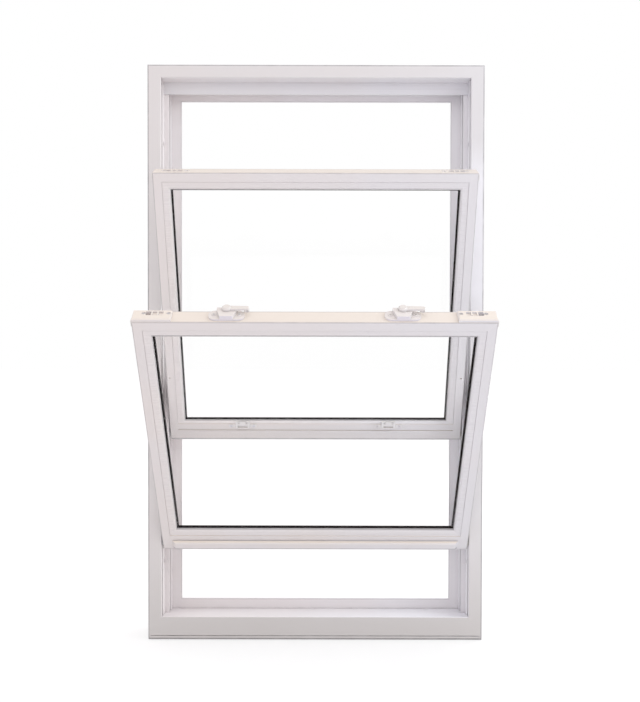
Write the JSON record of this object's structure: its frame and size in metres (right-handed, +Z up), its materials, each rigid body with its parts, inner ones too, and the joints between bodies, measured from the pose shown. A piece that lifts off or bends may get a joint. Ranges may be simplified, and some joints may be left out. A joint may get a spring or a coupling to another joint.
{
  "type": "sash window",
  "caption": "White vinyl tilt-in double-hung sash window in its frame, with sliding and tilting double-glazed sashes, cam locks and tilt latches.",
  "frame": {"origin": "middle of the frame's underside, half way between its room face and its outside face", "axes": "+X to the right seen from the room, +Y from the room to the outside, +Z up"},
  "size_m": [0.711, 0.4105, 1.219],
  "materials": {
    "vinyl": "satin",
    "bead_vinyl": "satin",
    "hardware": "satin",
    "nylon": "matte",
    "glass": "clear",
    "black_rubber": "matte",
    "pile": "matte",
    "steel": "zinc plated"
  },
  "bodies": {
    "frame": {"frame_head": "vinyl", "frame_sill": "vinyl", "jamb_left": "vinyl", "jamb_right": "vinyl", "head_parting_stop": "bead_vinyl", "lower_balance_left": "vinyl", "lower_balance_right": "vinyl", "upper_balance_left": "vinyl", "upper_balance_right": "vinyl", "balance_screws": "steel"},
    "lower_carriage": {"lower_shoe_left": "nylon", "lower_shoe_right": "nylon", "lower_rod_left": "steel", "lower_rod_right": "steel"},
    "upper_carriage": {"upper_shoe_left": "nylon", "upper_shoe_right": "nylon", "upper_rod_left": "steel", "upper_rod_right": "steel"},
    "lower_sash": {"lower_top_rail": "vinyl", "lower_bottom_rail": "vinyl", "lower_stile_left": "vinyl", "lower_stile_right": "vinyl", "lower_glazing_beads": "bead_vinyl", "lower_pane_room": "glass", "lower_pane_outside": "glass", "lower_spacer": "black_rubber", "lower_setting_blocks": "black_rubber", "lower_pivot_left": "steel", "lower_pivot_right": "steel", "lower_latch_case_left": "hardware", "lower_latch_case_right": "hardware", "lower_pile": "pile", "lock_base_left": "hardware", "lock_base_right": "hardware", "lower_screws": "steel", "lower_bottom_seal": "black_rubber"},
    "upper_sash": {"upper_top_rail": "vinyl", "upper_bottom_rail": "vinyl", "upper_stile_left": "vinyl", "upper_stile_right": "vinyl", "upper_glazing_beads": "bead_vinyl", "upper_pane_room": "glass", "upper_pane_outside": "glass", "upper_spacer": "black_rubber", "upper_setting_blocks": "black_rubber", "upper_pivot_left": "steel", "upper_pivot_right": "steel", "upper_latch_case_left": "hardware", "upper_latch_case_right": "hardware", "upper_pile": "pile", "keeper_left": "hardware", "keeper_right": "hardware", "upper_screws": "steel"},
    "lock_left": {"lock_lever_left": "hardware"},
    "lock_right": {"lock_lever_right": "hardware"},
    "lower_latch_left": {"lower_latch_bolt_left": "nylon"},
    "lower_latch_right": {"lower_latch_bolt_right": "nylon"},
    "upper_latch_left": {"upper_latch_bolt_left": "nylon"},
    "upper_latch_right": {"upper_latch_bolt_right": "nylon"}
  },
  "joints": [
    {"name": "lower_slide", "type": "slide", "parent": "frame", "child": "lower_carriage", "axis": [0, 0, 1], "range_m": [-0.1425, 0.188]},
    {"name": "lower_tilt", "type": "hinge", "parent": "lower_carriage", "child": "lower_sash", "pos_m": [0, -0.032, 0.2055], "axis": [1, 0, 0], "range_deg": [-34.4, 55.6]},
    {"name": "upper_slide", "type": "slide", "parent": "frame", "child": "upper_carriage", "axis": [0, 0, 1], "range_m": [-0.18, 0.17]},
    {"name": "upper_tilt", "type": "hinge", "parent": "upper_carriage", "child": "upper_sash", "pos_m": [0, 0.011, 0.435], "axis": [1, 0, 0], "range_deg": [-22.15, 35.85]},
    {"name": "lock_turn_left", "type": "hinge", "parent": "lower_sash", "child": "lock_left", "pos_m": [-0.157, -0.3417, 0.68789], "axis": [0, 0.565, -0.8251], "range_deg": [0, 150]},
    {"name": "lock_turn_right", "type": "hinge", "parent": "lower_sash", "child": "lock_right", "pos_m": [0.157, -0.3417, 0.68789], "axis": [0, 0.565, -0.8251], "range_deg": [0, 150]},
    {"name": "lower_latch_slide_left", "type": "slide", "parent": "lower_sash", "child": "lower_latch_left", "axis": [-1, 0, 0], "range_m": [0, 0.009]},
    {"name": "lower_latch_slide_right", "type": "slide", "parent": "lower_sash", "child": "lower_latch_right", "axis": [1, 0, 0], "range_m": [0, 0.009]},
    {"name": "upper_latch_slide_left", "type": "slide", "parent": "upper_sash", "child": "upper_latch_left", "axis": [-1, 0, 0], "range_m": [0, 0.009]},
    {"name": "upper_latch_slide_right", "type": "slide", "parent": "upper_sash", "child": "upper_latch_right", "axis": [1, 0, 0], "range_m": [0, 0.009]}
  ],
  "couplings": [
    {"joint": "upper_tilt", "follows": "lower_tilt", "ratio": 0.64244}
  ]
}
